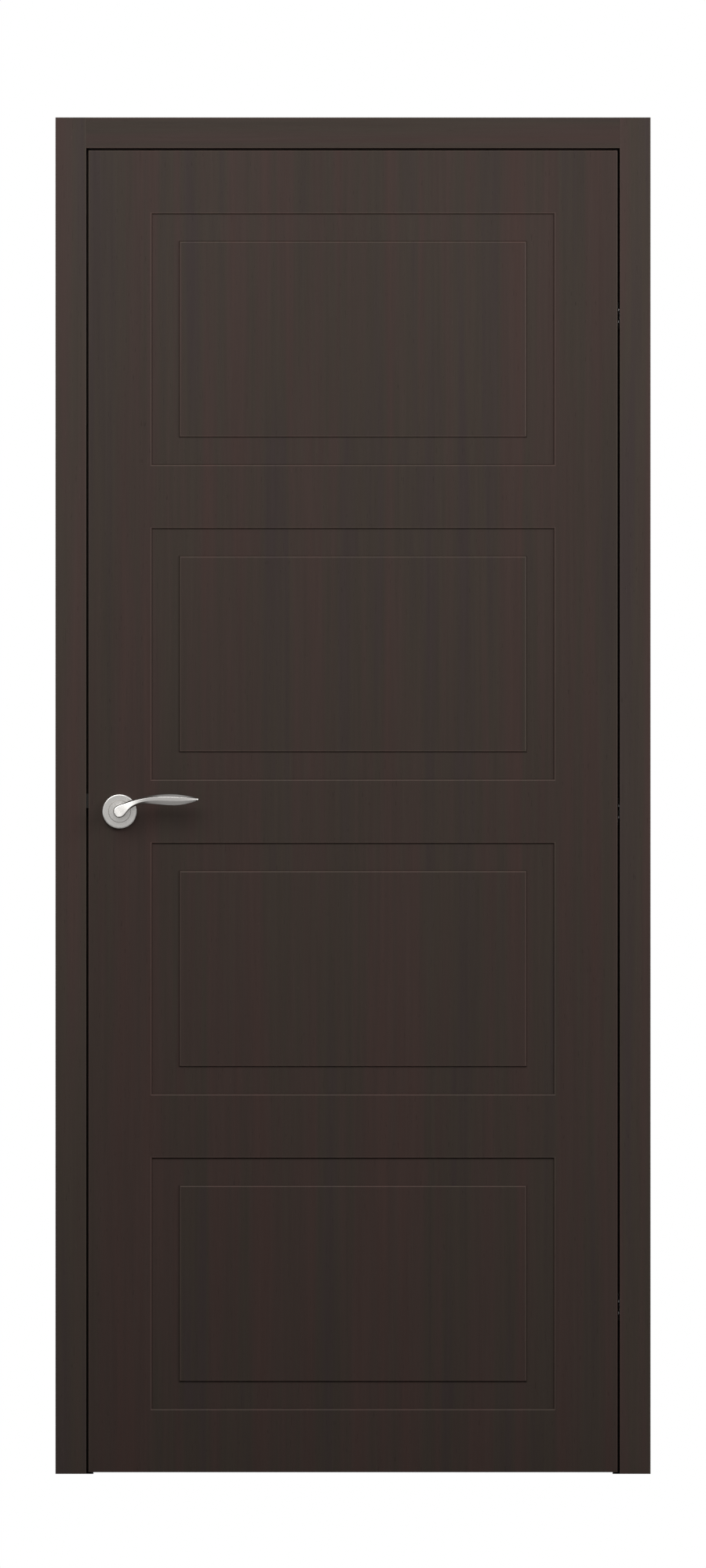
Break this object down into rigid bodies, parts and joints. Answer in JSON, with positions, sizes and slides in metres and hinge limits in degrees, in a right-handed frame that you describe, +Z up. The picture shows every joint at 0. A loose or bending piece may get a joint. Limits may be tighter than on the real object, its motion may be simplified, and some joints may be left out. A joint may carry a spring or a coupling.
{
  "type": "interior door",
  "caption": "Dark wood interior door leaf with raised panels in a jamb frame with casings, concealed hinges, a satin lever handle on a round rose and a mortise latch.",
  "frame": {"origin": "on the floor, midway between the jambs and midway through the thickness of the leaf", "axes": "+X to the right seen from the front, -Y to the front where the leaf is flush with the casings, +Z up"},
  "size_m": [0.9, 0.1542, 2.0525],
  "materials": {
    "stained_wood": "dark brown stain, satin, vertical grain",
    "dark_rubber": "matt",
    "satin_nickel": "satin nickel plate",
    "nylon": "matt",
    "zinc": "plain zinc casting",
    "hinge_zinc": "satin nickel coloured casting",
    "plate_steel": "satin nickel plate",
    "bolt_metal": "satin",
    "steel": "bright zinc plated"
  },
  "bodies": {
    "frame": {"back_casing_head": "stained_wood", "back_casing_left": "stained_wood", "back_casing_right": "stained_wood", "corner_screws": "steel", "front_casing_head": "stained_wood", "front_casing_left": "stained_wood", "front_casing_right": "stained_wood", "head_jamb": "stained_wood", "hinge_frame_cup_1": "hinge_zinc", "hinge_frame_cup_2": "hinge_zinc", "hinge_frame_cup_3": "hinge_zinc", "hinge_frame_pins": "steel", "hinge_frame_screws": "steel", "hinge_jamb": "stained_wood", "lock_jamb": "stained_wood", "seal_head": "dark_rubber", "seal_left": "dark_rubber", "seal_right": "dark_rubber", "strike_box": "nylon", "strike_plate": "plate_steel", "strike_screws": "steel"},
    "leaf": {"hinge_leaf_cup_1": "hinge_zinc", "hinge_leaf_cup_2": "hinge_zinc", "hinge_leaf_cup_3": "hinge_zinc", "hinge_leaf_pins": "steel", "hinge_leaf_screws": "steel", "latch_case": "steel", "latch_cover": "steel", "latch_faceplate": "plate_steel", "latch_faceplate_screws": "steel", "latch_spring": "steel", "leaf": "stained_wood", "rose_base_back": "zinc", "rose_base_front": "zinc", "rose_bolts": "steel", "rose_bushes": "nylon", "rose_cover_back": "satin_nickel", "rose_cover_front": "satin_nickel"},
    "handle": {"lever_front": "satin_nickel", "lever_back": "satin_nickel", "spindle": "steel", "follower": "bolt_metal", "grub_screws": "steel"},
    "latch_bolt": {"latch_bolt": "bolt_metal"},
    "outer_arms_1": {"hinge_outer_arms_1": "hinge_zinc", "hinge_centre_pin_1": "steel"},
    "inner_arm_1": {"hinge_inner_arm_1": "hinge_zinc"},
    "outer_arms_2": {"hinge_outer_arms_2": "hinge_zinc", "hinge_centre_pin_2": "steel"},
    "inner_arm_2": {"hinge_inner_arm_2": "hinge_zinc"},
    "outer_arms_3": {"hinge_outer_arms_3": "hinge_zinc", "hinge_centre_pin_3": "steel"},
    "inner_arm_3": {"hinge_inner_arm_3": "hinge_zinc"}
  },
  "joints": [
    {"name": "leaf_swing", "type": "hinge", "parent": "frame", "child": "leaf", "pos_m": [0.40175, -0.02, 0], "axis": [0, 0, 1], "range_deg": [0, 110]},
    {"name": "handle_turn", "type": "hinge", "parent": "leaf", "child": "handle", "pos_m": [-0.353, 0, 1.0025], "axis": [0, 1, 0], "range_deg": [0, 40], "stiffness_Nm_per_rad": 1.2, "springref_deg": -20.05},
    {"name": "latch_retract", "type": "slide", "parent": "leaf", "child": "latch_bolt", "axis": [1, 0, 0], "range_m": [0, 0.011], "deforming": ["latch_spring"]},
    {"name": "outer_arms_1_turn", "type": "hinge", "parent": "frame", "child": "outer_arms_1", "pos_m": [0.40715, -0.0075, 0.2525], "axis": [0, 0, 1], "range_deg": [0, 110]},
    {"name": "inner_arm_1_turn", "type": "hinge", "parent": "leaf", "child": "inner_arm_1", "pos_m": [0.39635, -0.0075, 0.2525], "axis": [0, 0, 1], "range_deg": [-110, 0]},
    {"name": "outer_arms_2_turn", "type": "hinge", "parent": "frame", "child": "outer_arms_2", "pos_m": [0.40715, -0.0075, 1.0025], "axis": [0, 0, 1], "range_deg": [0, 110]},
    {"name": "inner_arm_2_turn", "type": "hinge", "parent": "leaf", "child": "inner_arm_2", "pos_m": [0.39635, -0.0075, 1.0025], "axis": [0, 0, 1], "range_deg": [-110, 0]},
    {"name": "outer_arms_3_turn", "type": "hinge", "parent": "frame", "child": "outer_arms_3", "pos_m": [0.40715, -0.0075, 1.7525], "axis": [0, 0, 1], "range_deg": [0, 110]},
    {"name": "inner_arm_3_turn", "type": "hinge", "parent": "leaf", "child": "inner_arm_3", "pos_m": [0.39635, -0.0075, 1.7525], "axis": [0, 0, 1], "range_deg": [-110, 0]}
  ],
  "couplings": [
    {"joint": "latch_retract", "follows": "handle_turn", "m_per_rad": 0.015756},
    {"joint": "outer_arms_1_turn", "follows": "leaf_swing", "ratio": 1},
    {"joint": "inner_arm_1_turn", "follows": "leaf_swing", "ratio": -1},
    {"joint": "outer_arms_2_turn", "follows": "leaf_swing", "ratio": 1},
    {"joint": "inner_arm_2_turn", "follows": "leaf_swing", "ratio": -1},
    {"joint": "outer_arms_3_turn", "follows": "leaf_swing", "ratio": 1},
    {"joint": "inner_arm_3_turn", "follows": "leaf_swing", "ratio": -1}
  ]
}
